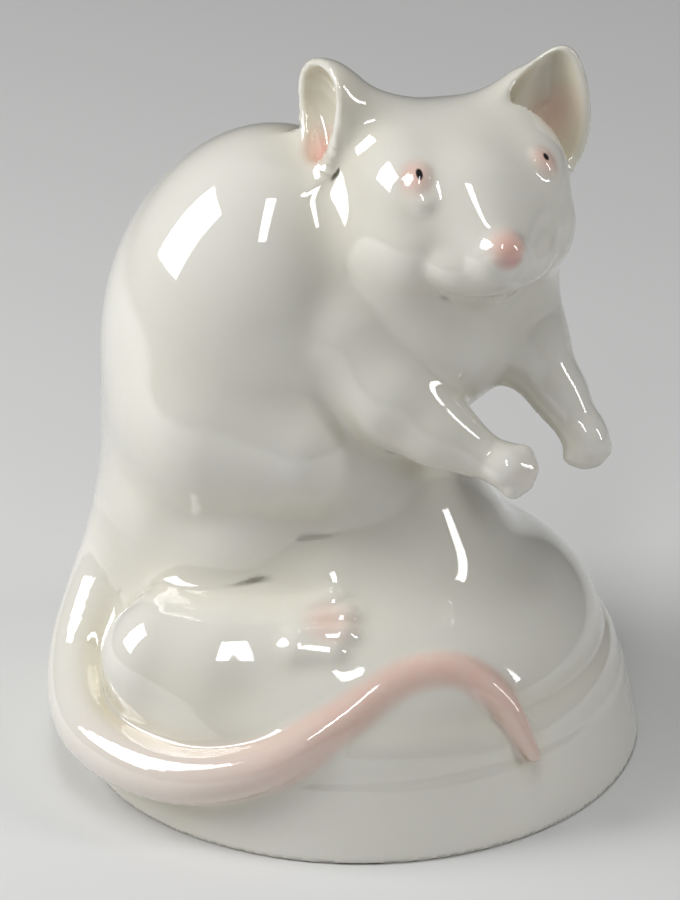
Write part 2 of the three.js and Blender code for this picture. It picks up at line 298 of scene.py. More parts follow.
def limb(joints: Sequence[Joint], width: float) -> Melt:
    """Round cones from joint to joint, melted together over a width."""
    bones = [RoundCone(a, b, ra, rb) for (a, ra), (b, rb) in zip(joints[:-1], joints[1:])]
    return Melt(bones[0], tuple((width, bone) for bone in bones[1:]))


@dataclass(frozen=True)
class SweptTube:
    """A tapering tube along a smooth curve through its joints."""

    joints: tuple[Joint, ...]
    steps: int = 60
    blank_every: int = 2

    def rings(self) -> tuple[np.ndarray, np.ndarray]:
        """The centres and radii of the tube's rings, evenly spread over its joints."""
        centres = through(np.array([point for point, _ in self.joints]), self.steps)
        girths = through(np.array([[radius, 0.0, 0.0] for _, radius in self.joints]), self.steps)
        return centres, girths[:, 0]

    def bones(self, every: int = 1) -> list[RoundCone]:
        """Round cones from ring to ring, taking every so many rings."""
        centres, radii = self.rings()
        kept = range(0, len(radii), every)
        return [RoundCone(tuple(centres[a]), tuple(centres[b]), radii[a], radii[b])
                for a, b in zip(kept[:-1], kept[1:])]

    def distance(self, p: np.ndarray) -> np.ndarray:
        """How far each point lies outside the tube."""
        distance = np.full(len(p), np.inf)
        for centre, radius in zip(*self.rings()):
            distance = np.minimum(distance, np.sqrt(np.sum((p - centre) ** 2, axis=1)) - radius)
        near = np.flatnonzero(distance < TUBE_REACH_MM)
        for bone in self.bones():
            centre, radius = bone.ball()
            held = near[np.sum((p[near] - centre) ** 2, axis=1) < (radius + TUBE_REACH_MM) ** 2]
            distance[held] = np.minimum(distance[held], bone.distance(p[held]))
        return distance

    def model(self, bm: bmesh.types.BMesh) -> None:
        """Adds a chain of round cones."""
        for bone in self.bones(self.blank_every):
            bone.model(bm)


def through(points: np.ndarray, steps: int) -> np.ndarray:
    """Points on the centripetal Catmull-Rom curve through some points.

    Args:
        points: The points that the curve passes through, one to a row.
        steps: How many steps are taken, as many on each span.

    Returns:
        The curve's points, one more than the steps.
    """
    first = 2.0 * points[0] - points[1]
    last = 2.0 * points[-1] - points[-2]
    held = np.vstack([first, points, last])
    spans = len(points) - 1
    made = []
    for step in range(steps + 1):
        span = min(int(spans * step / steps), spans - 1)
        t = spans * step / steps - span
        a, b, c, d = held[span:span + 4]
        gaps = (b - a, c - b, d - c)
        before, here, after = (max(float(gap @ gap), 1e-12) ** 0.25 for gap in gaps)
        leave = here * ((b - a) / before - (c - a) / (before + here) + (c - b) / here)
        arrive = here * ((c - b) / here - (d - b) / (here + after) + (d - c) / after)
        bend = 3.0 * (c - b) - 2.0 * leave - arrive
        twist = 2.0 * (b - c) + leave + arrive
        made.append(b + t * (leave + t * (bend + t * twist)))
    return np.array(made)


@dataclass(frozen=True)
class Carved:
    """A form with hollows cut into it, each with its edge rounded over a width."""

    form: Shape
    hollows: tuple[tuple[float, Shape], ...]

    def distance(self, p: np.ndarray) -> np.ndarray:
        """How far each point lies outside what is left."""
        distance = self.form.distance(p)
        for width, hollow in self.hollows:
            distance = smooth_max(distance, -hollow.distance(p), width)
        return distance


# The mouse. Near is the side turned to -Y, far the other.


@dataclass(frozen=True)
class Paw:
    """A flattened pad with a row of toes spread from its heart."""

    centre: Point
    radii: Point
    frame: Matrix
    heart: Point
    toe_tips: tuple[Point, ...]
    heart_radius: float = 1.6
    tip_radius: float = 1.25
    toe_melt: float = 1.1

    def form(self) -> Melt:
        """The pad with its toes."""
        toes = [RoundCone(self.heart, tip, self.heart_radius, self.tip_radius) for tip in self.toe_tips]
        pad = Ellipsoid(self.centre, self.radii, self.frame)
        return Melt(pad, tuple((self.toe_melt, toe) for toe in toes))


@dataclass(frozen=True)
class Foreleg:
    """A leg that hangs from the chest, with its paw."""

    joints: tuple[Joint, ...]
    paw: Paw
    joint_melt: float = 3.0
    paw_melt: float = 1.5

    def form(self) -> Melt:
        """The leg with its paw."""
        return Melt(limb(self.joints, self.joint_melt), ((self.paw_melt, self.paw.form()),))


@dataclass(frozen=True)
class Torso:
    """Back, rump, belly, chest and neck, with the haunches and the forelegs."""

    near_foreleg: Foreleg
    far_foreleg: Foreleg
    back: Ellipsoid = Ellipsoid((-11.9, 3.5, 50.8), (16.8, 16.5, 22.6), turned(0, -14))
    rump: Ellipsoid = Ellipsoid((-12.8, 3.5, 33.0), (12.6, 13.5, 15.0))
    belly: Ellipsoid = Ellipsoid((-2.6, 0.5, 36.5), (13.2, 11.5, 15.0))
    chest: Ellipsoid = Ellipsoid((6.5, -0.5, 53.8), (12.0, 11.5, 12.9), turned(-45))
    neck: Ellipsoid = Ellipsoid((4.5, 0.6, 63.0), (9.8, 9.2, 9.5))
    shank: RoundCone = RoundCone((-21.5, -4.4, 30.5), (-3.5, -9.4, 25.6), 3.0, 3.8)
    small_of_back: Ellipsoid = Ellipsoid((-19.5, -0.5, 27.0), (7.5, 7.5, 11.0))
    lap: RoundCone = RoundCone((0.8, 0.0, 36.0), (4.2, -1.0, 23.5), 8.8, 12.3)
    haunch_spread: float = 16.0
    haunch_splay: float = 1.42

    def haunch(self, across: float) -> Melt:
        """A thigh and a shin, at some distance across the mouse from the near side."""
        knee = (-7.0, -9.5 + across * self.haunch_splay, 40.5)
        thigh = RoundCone((-15.5, -4.5 + across, 41.5), knee, 9.6, 6.0)
        shin = RoundCone((-8.5, -6.5 + across, 37.0), (-16.0, -5.5 + across, 24.0), 5.0, 6.0)
        return Melt(thigh, ((3.0, shin),))

    def form(self) -> Melt:
        """The whole torso."""
        return Melt(self.back, (
            (10.0, self.rump), (8.0, self.belly), (7.0, self.chest), (9.0, self.neck),
            (9.0, self.haunch(0.0)), (9.0, self.haunch(self.haunch_spread)), (6.0, self.small_of_back),
            (8.0, self.lap), (7.0, self.shank),
            (2.4, self.near_foreleg.form()), (3.4, self.far_foreleg.form())))


@dataclass(frozen=True)
class Head:
    """The head in a frame of its own: forward to the nose, left, and up to the crown."""

    centre: Point = (11.3, -3.4, 69.3)
    frame: Matrix = field(default_factory=lambda: turned(-72, -12))
    skull_radii: Point = (12.0, 10.3, 7.6)
    cheek_radii: Point = (6.6, 4.7, 5.4)
    brow_radii: Point = (6.5, 4.4, 4.6)
    muzzle_radii: Point = (5.6, 7.6, 4.1)
    eye_radii: Point = (1.85, 1.4, 1.15)
    pouch_radii: Point = (1.7, 1.4, 1.0)
    chin_radii: Point = (3.6, 4.4, 2.2)
    nose_radii: Point = (1.9, 2.1, 1.6)
    eye_spread: float = 6.95
    cheek_spread: float = 7.0
    brow_spread: float = 6.9

    def at(self, forward: float, left: float, up: float) -> Point:
        """The point at these steps from the head's centre."""
        return tuple(Vector(self.centre) + self.frame @ Vector((forward, left, up)))

    def part(self, place: Point, radii: Point, frame: Matrix | None = None) -> Ellipsoid:
        """An ellipsoid at a place on the head."""
        return Ellipsoid(self.at(*place), radii, frame or self.frame)

    def eye(self, side: int) -> Ellipsoid:
        """The eye on the left (1) or right (-1)."""
        frame = self.frame @ turned(side * 29, -31)
        return self.part((4.75, side * self.eye_spread, 5.5), self.eye_radii, frame)

    def form(self) -> Melt:
        """The whole head without its ears."""
        snout = RoundCone(self.at(4, 0, -0.2), self.at(11.8, -0.2, -0.4), 7.2, 3.8)
        jaw = RoundCone(self.at(-1, 0, -5), self.at(8, 0, -4.6), 5.8, 3.6)
        cheeks = [self.part((3.2, side * self.cheek_spread, -2.6), self.cheek_radii) for side in (-1, 1)]
        brows = [self.part((0.6, side * self.brow_spread, 2.4), self.brow_radii) for side in (-1, 1)]
        muzzle = self.part((8.8, 0.2, -2.3), self.muzzle_radii)
        pouch = self.part((5.9, -6.9, 3.9), self.pouch_radii)
        chin = self.part((8, 0.4, -5.2), self.chin_radii)
        nose = self.part((13.9, 0.0, 1.8), self.nose_radii)
        return Melt(self.part((-1, 0, -0.2), self.skull_radii), (
            (3.0, brows[0]), (3.0, brows[1]), (5.0, snout), (3.4, jaw), (3.2, cheeks[0]), (3.2, cheeks[1]),
            (1.3, muzzle), (0.8, self.eye(-1)), (0.8, self.eye(1)), (1.6, pouch), (0.8, chin), (1.6, nose)))


@dataclass(frozen=True)
class HalfShell:
    """An ellipsoid whose front is cut off flat."""

    shell: Ellipsoid
    face: float = 0.6
    edge: float = 0.7

    def distance(self, p: np.ndarray) -> np.ndarray:
        """How far each point lies outside the half shell."""
        forward = (p - np.array(self.shell.centre)) @ np.array(self.shell.frame.col[0])
        return smooth_max(self.shell.distance(p), forward - self.face, self.edge)

    def ball(self) -> Joint:
        """The ball that holds the half shell."""
        return self.shell.ball()

    def model(self, bm: bmesh.types.BMesh) -> None:
        """Adds the ellipsoid, cut off and closed at its face."""
        blank = bmesh.new()
        self.shell.model(blank)
        forward = self.shell.frame.col[0].copy()
        cut_level(blank, Vector(self.shell.centre) + forward * self.face, forward)
        add_blank(bm, blank)


@dataclass(frozen=True)
class Ear:
    """An ear: a half shell on a root, with a cup hollowed from its front."""

    centre: Point
    frame: Matrix
    half_width: float
    half_height: float
    taper: float
    root: RoundCone
    cup_depth: float
    cup_shift: float = 0.0
    cup_edge: float = 1.0
    cup_lift: float = 0.0
    cup_forward: float = 0.6
    cup_face: float = 1.3
    thickness: float = 5.0
    rim: float = 1.0
    root_melt: float = 3.0

    def form(self) -> Melt:
        """The ear before its cup is cut."""
        radii = (self.thickness, self.half_width, self.half_height)
        shell = Ellipsoid(self.centre, radii, self.frame, self.taper)
        return Melt(HalfShell(shell), ((self.root_melt, self.root),))

    def cup(self) -> HalfShell:
        """The hollow in the ear's front. It ends just past the ear's face, so that it cuts nothing else."""
        shift = Vector((self.cup_forward, self.cup_shift, self.cup_lift))
        centre = tuple(Vector(self.centre) + self.frame @ shift)
        radii = (self.cup_depth, self.half_width - self.rim, self.half_height - self.rim - self.cup_lift)
        return HalfShell(Ellipsoid(centre, radii, self.frame, self.taper), self.cup_face)


@dataclass(frozen=True)
class HindFoot:
    """A long foot, with toes where it shows them."""

    sole: tuple[Joint, ...]
    toe_tips: tuple[Point, ...] = ()
    sole_bend: float = 3.0
    sole_melt: float = 4.5
    toe_gap: float = 0.6
    toe_melt: float = 2.4
    toe_radii: tuple[float, float] = (2.2, 1.6)

    def forms(self) -> list[tuple[float, Shape]]:
        """The sole and the row of toes, each with the width over which it melts into the rest."""
        sole = (self.sole_melt, limb(self.sole, self.sole_bend))
        toes = [RoundCone((-6.8, tip[1] * 0.72 - 5.3, 22.1 - 0.35 * i), tip, *self.toe_radii)
                for i, tip in enumerate(self.toe_tips)]
        if not toes:
            return [sole]
        return [sole, (self.toe_melt, Melt(toes[0], tuple((self.toe_gap, toe) for toe in toes[1:])))]


# The base


@dataclass(frozen=True)
class Drum:
    """The low drum that everything stands on, hollowed a little underneath."""

    radius: float = 32.0
    height: float = 13.6
    taper: float = 2.9
    rounding: float = 4.0
    ledge_height: float = 8.9
    ledge_depth: float = 0.18
    ledge_softness: float = 0.35
    foot_edge: float = 1.2
    foot_ring: float = 6.0
    hollow_depth: float = 0.8
    hollow_edge: float = 0.8

    def distance(self, p: np.ndarray) -> np.ndarray:
        """How far each point lies outside the drum."""
        z = p[:, 2]
        r = np.hypot(p[:, 0], p[:, 1])
        rise = np.clip(z / (self.height - 0.6), 0.0, 1.2)
        ledge = self.ledge_depth / 2.0 * (1.0 - np.tanh((z - self.ledge_height) / self.ledge_softness))
        wall = 0.97 * (r - (self.radius - self.taper * rise ** 1.15 + ledge))
        return smooth_max(wall, z - self.height, self.rounding)

    def underside(self, p: np.ndarray, above: np.ndarray) -> np.ndarray:
        """Stands a distance on the table: cuts it off level and hollows what the foot ring leaves.

        Args:
            p: The points.
            above: Their distances to the figurine before it is cut off.

        Returns:
            Their distances to the figurine that stands on the table.
        """
        r = np.hypot(p[:, 0], p[:, 1])
        standing = smooth_max(above, -p[:, 2], self.foot_edge)
        hollow = smooth_max(r - (self.radius - self.foot_ring), p[:, 2] - self.hollow_depth, self.hollow_edge)
        return smooth_max(standing, -hollow, self.hollow_edge)

    def model(self, bm: bmesh.types.BMesh) -> None:
        """Adds a bevelled drum with its underside set in."""
        blank = bmesh.new()
        bmesh.ops.create_cone(
            blank, cap_ends=True, segments=96, radius1=self.radius, radius2=self.radius - self.taper,
            depth=self.height, matrix=Matrix.Translation((0.0, 0.0, self.height / 2.0)))
        bottom = min(blank.faces, key=lambda face: face.calc_center_median().z)
        bmesh.ops.inset_region(blank, faces=[bottom], thickness=self.foot_ring)
        bmesh.ops.translate(blank, vec=(0.0, 0.0, self.hollow_depth), verts=list(bottom.verts))
        top = max(blank.faces, key=lambda face: face.calc_center_median().z)
        bmesh.ops.bevel(blank, geom=list(top.edges), offset=self.rounding / 3.0, segments=3, profile=0.5,
                        affect="EDGES", material=-1)
        add_blank(bm, blank)


@dataclass(frozen=True)
class Mound:
    """The dome that the mouse sits on, tucked in below its widest line, with a bulge under the foot."""

    radius: float = 27.7
    level: float = 13.6
    rise: float = 13.6
    tuck: float = 4.6
    tuck_melt: float = 3.0
    foot_rest: Ellipsoid = Ellipsoid((-14.4, -13.6, 10.5), (10.6, 12.5, 8.5), turned(-137))

    def dome(self) -> Ellipsoid:
        """The dome alone."""
        return Ellipsoid((0.0, 0.0, self.level), (self.radius, self.radius, self.rise))

    def distance(self, p: np.ndarray) -> np.ndarray:
        """How far each point lies outside the mound."""
        tucked = smooth_max(self.dome().distance(p), self.level - self.tuck - p[:, 2], self.tuck_melt)
        return smooth_min(tucked, self.foot_rest.distance(p), self.tuck_melt)

    def ball(self) -> Joint:
        """The ball that holds the mound."""
        return holding([self.dome().ball(), self.foot_rest.ball()])

    def model(self, bm: bmesh.types.BMesh) -> None:
        """Adds the dome, cut off level, and the bulge."""
        blank = bmesh.new()
        self.dome().model(blank)
        cut_level(blank, (0.0, 0.0, self.level - self.tuck + 0.2), (0.0, 0.0, -1.0))
        add_blank(bm, blank)
        self.foot_rest.model(bm)


# The skin


def modified(piece: bpy.types.Object, name: str) -> bpy.types.Mesh:
    """Takes an object's mesh with its modifiers applied, names it, and removes the object."""
    graph = bpy.context.evaluated_depsgraph_get()
    made = bpy.data.meshes.new_from_object(piece.evaluated_get(graph))
    made.name = name
    bpy.data.objects.remove(piece)
    return made


def blank_object(name: str, shapes: Iterable[Shape]) -> bpy.types.Object:
    """Makes an object of the rough blanks of some shapes."""
    bm = bmesh.new()
    for shape in shapes:
        shape.model(bm)
    return new_object(name, new_mesh(name, bm))


def add_remesh(piece: bpy.types.Object, voxel: float) -> None:
    """Adds a voxel remesh to an object."""
    remesh = piece.modifiers.new("skin", "REMESH")
    remesh.mode = "VOXEL"
    remesh.voxel_size = voxel


Distance = Callable[[np.ndarray], np.ndarray]


def in_chunks(measure: Distance, p: np.ndarray) -> np.ndarray:
    """Measures many points a part at a time, to spare memory."""
    return np.concatenate([measure(p[start:start + CHUNK]) for start in range(0, len(p), CHUNK)])


def slope(measure: Distance, p: np.ndarray) -> np.ndarray:
    """The gradient of a distance at some points, by central differences."""
    steps = GRADIENT_STEP_MM * np.eye(3)
    rises = [in_chunks(measure, p + step) - in_chunks(measure, p - step) for step in steps]
    return np.stack(rises, axis=1) / (2.0 * GRADIENT_STEP_MM)


def settle(measure: Distance, p: np.ndarray, steps: int) -> np.ndarray:
    """Moves points onto the surface where a distance is zero.

    Args:
        measure: The distance.
        p: The points.
        steps: How many steps are taken.

    Returns:
        The moved points.
    """
    for _ in range(steps):
        here = in_chunks(measure, p)
        ahead = [in_chunks(measure, p + step) for step in GRADIENT_STEP_MM * np.eye(3)]
        uphill = np.stack([there - here for there in ahead], axis=1) / GRADIENT_STEP_MM
        steep = np.maximum(np.sum(uphill ** 2, axis=1), 0.05)
        p = p - np.clip(here / steep, -LONGEST_MOVE_MM, LONGEST_MOVE_MM)[:, None] * uphill
    return p


def unit_rows(vectors: np.ndarray) -> np.ndarray:
    """The same directions, each of length one."""
    return vectors / np.maximum(np.linalg.norm(vectors, axis=1), 1e-9)[:, None]


# Paint


class Pigment(Enum):
    """What a patch is painted with, as a linear colour."""

    ROSE = (0.80, 0.47, 0.39)
    NOSE = (0.62, 0.25, 0.26)
    EYE = (0.012, 0.009, 0.009)
    SPECK = (0.10, 0.075, 0.055)


@dataclass(frozen=True)
class Patch:
    """An airbrushed patch: an ellipsoid of paint that fades towards its edge."""

    pigment: Pigment
    centre: Point
    radii: Point
    frame: Matrix = field(default_factory=turned)
    strength: float = 1.0
    softness: float = 0.9


def new_group(name: str, inputs: Sequence[tuple[str, str]], outputs: Sequence[tuple[str, str]]) -> Tree:
    """Makes a shader node group with named sockets.

    Args:
        name: The group's name.
        inputs: The name and kind of each input, such as "Float".
        outputs: The name and kind of each output.

    Returns:
        The group, with its input and output nodes in it.
    """
    tree = bpy.data.node_groups.new(name, "ShaderNodeTree")
    for in_out, sockets in (("INPUT", inputs), ("OUTPUT", outputs)):
        for label, kind in sockets:
            tree.interface.new_socket(name=label, in_out=in_out, socket_type=f"NodeSocket{kind}")
    tree.nodes.new("NodeGroupInput")
    tree.nodes.new("NodeGroupOutput")
    return tree


def feed(node: bpy.types.Node, inputs: dict[str | int, Feed]) -> None:
    """Sets a node's inputs by name or number, each to a value or to what another node gives."""
    for key, value in inputs.items():
        if isinstance(value, Socket):
            node.id_data.links.new(value, node.inputs[key])
        else:
            node.inputs[key].default_value = value


def math_node(tree: Tree, operation: str, *values: Socket | float, clamp: bool = False) -> Socket:
    """Adds a Math node and returns its result."""
    node = tree.nodes.new("ShaderNodeMath")
    node.operation = operation
    node.use_clamp = clamp
    feed(node, dict(enumerate(values)))
    return node.outputs[0]


def patch_group() -> Tree:
    """The group that says how thick the paint of a patch lies at a point."""
    tree = new_group(
        "airbrushed_patch",
        (("Coordinates", "Vector"), ("Centre", "Vector"), ("Turn", "Vector"), ("Radii", "Vector"),
         ("Softness", "Float"), ("Strength", "Float")),
        (("Mask", "Float"),))
    given = tree.nodes["Group Input"].outputs
    place = tree.nodes.new("ShaderNodeMapping")
    place.vector_type = "TEXTURE"
    feed(place, {"Vector": given["Coordinates"], "Location": given["Centre"], "Rotation": given["Turn"],
                 "Scale": given["Radii"]})
    reach = tree.nodes.new("ShaderNodeVectorMath")
    reach.operation = "LENGTH"
    feed(reach, {0: place.outputs["Vector"]})
    fade = tree.nodes.new("ShaderNodeMapRange")
    fade.interpolation_type = "SMOOTHSTEP"
    starts = math_node(tree, "SUBTRACT", 1.0, given["Softness"])
    feed(fade, {"Value": reach.outputs["Value"], "From Min": starts, "From Max": 1.0,
                "To Min": 1.0, "To Max": 0.0})
    thick = math_node(tree, "MULTIPLY", fade.outputs["Result"], given["Strength"])
    feed(tree.nodes["Group Output"], {"Mask": thick})
    return tree


class Layer(Enum):
    """What is measured at each vertex and read by the glaze."""

    TAIL_BLUSH = "tail_blush"
    # painted shade in concave places, where glaze also pools
    HOLLOW_SHADE = "hollow"


@dataclass(frozen=True)
class Glaze:
    """A clear glaze over warm white porcelain, with airbrushed paint under it."""

    white: Point = (0.80, 0.785, 0.725)
    # yellower and darker in hollows: pooled glaze and painted shade
    pooled_and_shaded: Point = (0.72, 0.68, 0.54)
    bare_clay: Point = (0.72, 0.69, 0.62)
    roughness: float = 0.06
    bare_roughness: float = 0.6
    coat: float = 0.8
    translucency: float = 0.18
    glow_depth: float = 0.0016
    bare_below_mm: float = 0.12
    cloud_mm: float = 14.0
    stipple_mm: float = 1.6
    polish_mm: float = 3.0
    ripple_mm: float = 5.0

    def material(self, patches: Iterable[Patch], unit: float) -> bpy.types.Material:
        """Builds the glaze's material.

        Args:
            patches: The paint under the glaze.
            unit: Metres to one of the sculptor's millimetres.

        Returns:
            The material.
        """
        material = bpy.data.materials.new(SLOT)
        material.use_nodes = True
        tree = material.node_tree
        shader = tree.nodes["Principled BSDF"]
        scaled = self.in_millimetres(tree, unit)
        colour = self.clay(tree, scaled)
        for pigment in Pigment:
            mask = self.painted(tree, scaled, [patch for patch in patches if patch.pigment is pigment])
            if pigment is Pigment.ROSE:
                mask = math_node(tree, "MAXIMUM", mask, self.layer(tree, Layer.TAIL_BLUSH))
                mask = self.stippled(tree, scaled, mask)
            colour = self.mixed(tree, mask, colour, (*pigment.value, 1.0))
        bare = self.bare(tree, scaled)
        colour = self.mixed(tree, bare, colour, (*self.bare_clay, 1.0))
        feed(shader, {"Base Color": colour})
        self.finish(tree, shader, scaled, bare)
        return material

    def in_millimetres(self, tree: Tree, unit: float) -> Socket:
        """The object's coordinates in the sculptor's millimetres."""
        coordinates = tree.nodes.new("ShaderNodeTexCoord")
        scale = tree.nodes.new("ShaderNodeMapping")
        feed(scale, {"Scale": (1.0 / unit,) * 3, "Vector": coordinates.outputs["Object"]})
        return scale.outputs["Vector"]

    def mixed(self, tree: Tree, mask: Socket, under: Feed, over: Feed) -> Socket:
        """Lays one colour over another where a mask says."""
        mix = tree.nodes.new("ShaderNodeMix")
        mix.data_type = "RGBA"
        lower, upper = (i for i, one in enumerate(mix.inputs) if one.type == "RGBA")
        feed(mix, {"Factor": mask, lower: under, upper: over})
        return next(one for one in mix.outputs if one.type == "RGBA")

    def noise(self, tree: Tree, scaled: Socket, size: float, detail: float) -> Socket:
        """Soft noise whose blots are about that many millimetres across."""
        cloud = tree.nodes.new("ShaderNodeTexNoise")
        feed(cloud, {"Scale": 1.0 / size, "Detail": detail, "Vector": scaled})
        return cloud.outputs["Fac"]

    def layer(self, tree: Tree, layer: Layer) -> Socket:
        """What was measured at the vertices."""
        read = tree.nodes.new("ShaderNodeAttribute")
        read.attribute_name = layer.value
        return read.outputs["Fac"]

    def clay(self, tree: Tree, scaled: Socket) -> Socket:
        """Warm white, yellower and darker in hollows, as glaze pools there and as painted shade, and faintly
        cloudy.
        """
        cloud = self.noise(tree, scaled, self.cloud_mm, 2.0)
        thick = math_node(tree, "MULTIPLY_ADD", cloud, 0.5, -0.15)
        # painted shade in hollows, with pooled glaze, over a faint cloudy tone
        pooled_and_shaded = math_node(tree, "ADD", thick, self.layer(tree, Layer.HOLLOW_SHADE), clamp=True)
        return self.mixed(tree, pooled_and_shaded, (*self.white, 1.0), (*self.pooled_and_shaded, 1.0))

    def painted(self, tree: Tree, scaled: Socket, patches: Sequence[Patch]) -> Socket:
        """The thickest paint of some patches at a point."""
        group = bpy.data.node_groups.get("airbrushed_patch") or patch_group()
        thickest = None
        for patch in patches:
            node = tree.nodes.new("ShaderNodeGroup")
            node.node_tree = group
            feed(node, {"Coordinates": scaled, "Centre": patch.centre, "Turn": patch.frame.to_euler(),
                        "Radii": patch.radii, "Softness": patch.softness, "Strength": patch.strength})
            mask = node.outputs["Mask"]
            thickest = math_node(tree, "MAXIMUM", thickest, mask) if thickest else mask
        return thickest

    def stippled(self, tree: Tree, scaled: Socket, mask: Socket) -> Socket:
        """Paint that lies a little unevenly, as an airbrush leaves it."""
        cloud = self.noise(tree, scaled, self.stipple_mm, 3.0)
        uneven = math_node(tree, "MULTIPLY_ADD", cloud, 0.5, 0.75)
        return math_node(tree, "MULTIPLY", mask, uneven, clamp=True)

    def bare(self, tree: Tree, scaled: Socket) -> Socket:
        """Where the foot ring was wiped free of glaze."""
        split = tree.nodes.new("ShaderNodeSeparateXYZ")
        feed(split, {"Vector": scaled})
        cloud = self.noise(tree, scaled, 4.0, 1.0)
        wobble = math_node(tree, "MULTIPLY_ADD", cloud, 0.1, self.bare_below_mm - 0.05)
        return math_node(tree, "LESS_THAN", split.outputs["Z"], wobble)

    def finish(self, tree: Tree, shader: bpy.types.Node, scaled: Socket, bare: Socket) -> None:
        """Sets the gloss, the glow and the faint ripple of the glaze.

        Args:
            tree: The material's nodes.
            shader: Its Principled BSDF.
            scaled: The coordinates in millimetres.
            bare: Where there is no glaze.
        """
        cloud = self.noise(tree, scaled, self.polish_mm, 2.0)
        polish = math_node(tree, "MULTIPLY_ADD", cloud, 0.03, self.roughness - 0.015)
        matt = math_node(tree, "MULTIPLY", bare, self.bare_roughness)
        glazed = math_node(tree, "SUBTRACT", 1.0, bare)
        bump = tree.nodes.new("ShaderNodeBump")
        ripple = self.noise(tree, scaled, self.ripple_mm, 1.5)
        feed(bump, {"Strength": 0.35, "Distance": 0.00006, "Height": ripple})
        feed(shader, {
            "Roughness": math_node(tree, "ADD", polish, matt),
            "Coat Weight": math_node(tree, "MULTIPLY", glazed, self.coat),
            "Coat Roughness": 0.03, "Coat IOR": 1.6, "IOR": 1.55,
            "Subsurface Weight": self.translucency, "Subsurface Radius": (1.0, 0.85, 0.6),
            "Subsurface Scale": self.glow_depth, "Normal": bump.outputs["Normal"]})


# The whole casting


